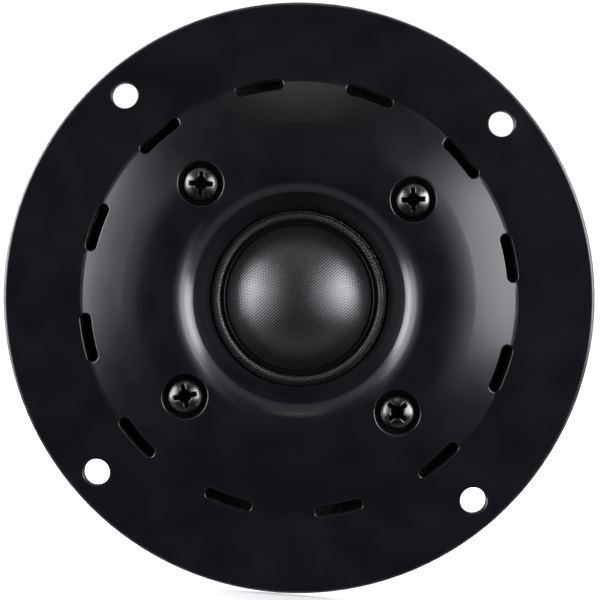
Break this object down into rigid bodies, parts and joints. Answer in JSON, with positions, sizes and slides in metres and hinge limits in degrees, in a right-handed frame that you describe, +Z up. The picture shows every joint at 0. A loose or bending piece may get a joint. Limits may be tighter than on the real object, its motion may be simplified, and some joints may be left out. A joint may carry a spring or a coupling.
{
  "type": "dome tweeter",
  "caption": "Round flanged soft-dome tweeter with a short horn, ferrite motor, rear chamber and push-on tabs; the dome and coil travel along the firing axis.",
  "frame": {"origin": "centre of the mounting-bolt circle, in the plane of the flange's rear face", "axes": "the dome fires along -Y, +Z is up, +X is to the right of someone facing the dome; the terminals are at -Z"},
  "size_m": [0.104, 0.0475, 0.104],
  "materials": {
    "faceplate_black": "fine satin texture",
    "black_foam": "matt open cells",
    "dome_fabric": "coated weave",
    "ring_plastic": "moulded",
    "foil": "rolled foil",
    "coil_wire": "enamelled wire, copper coloured",
    "lead_wire": "enamelled copper",
    "plated_steel": "zinc plated",
    "blackened_steel": "black zinc",
    "pin_steel": "ground",
    "ferrite": "ground ceramic",
    "copper": "drawn",
    "felt": "pressed felt",
    "wool": "loose polyester",
    "chamber_plastic": "moulded, fine grain",
    "phenolic": "laminate",
    "tinned_brass": "tinned",
    "rivet_brass": "turned"
  },
  "bodies": {
    "motor": {"faceplate": "faceplate_black", "slot_foam": "black_foam", "flange_gasket": "black_foam", "surround": "dome_fabric", "diaphragm_ring": "ring_plastic", "locating_pins": "pin_steel", "top_plate": "plated_steel", "magnet": "ferrite", "back_plate": "plated_steel", "pole_piece": "plated_steel", "copper_cap": "copper", "pole_felt": "felt", "chamber_gasket": "black_foam", "rear_chamber": "chamber_plastic", "chamber_wool": "wool", "faceplate_screws": "blackened_steel", "chamber_screws": "blackened_steel", "terminal_board": "phenolic", "terminal_positive": "tinned_brass", "terminal_negative": "tinned_brass", "terminal_rivets": "rivet_brass", "lead_wire_positive": "lead_wire", "lead_wire_negative": "lead_wire"},
    "diaphragm": {"dome": "dome_fabric", "voice_coil_former": "foil", "voice_coil_winding": "coil_wire"}
  },
  "joints": [
    {"name": "dome_travel", "type": "slide", "parent": "motor", "child": "diaphragm", "axis": [0, -1, 0], "range_m": [-0.0006, 0.0006], "stiffness_N_per_m": 6700, "deforming": ["surround", "lead_wire_positive", "lead_wire_negative"]}
  ]
}
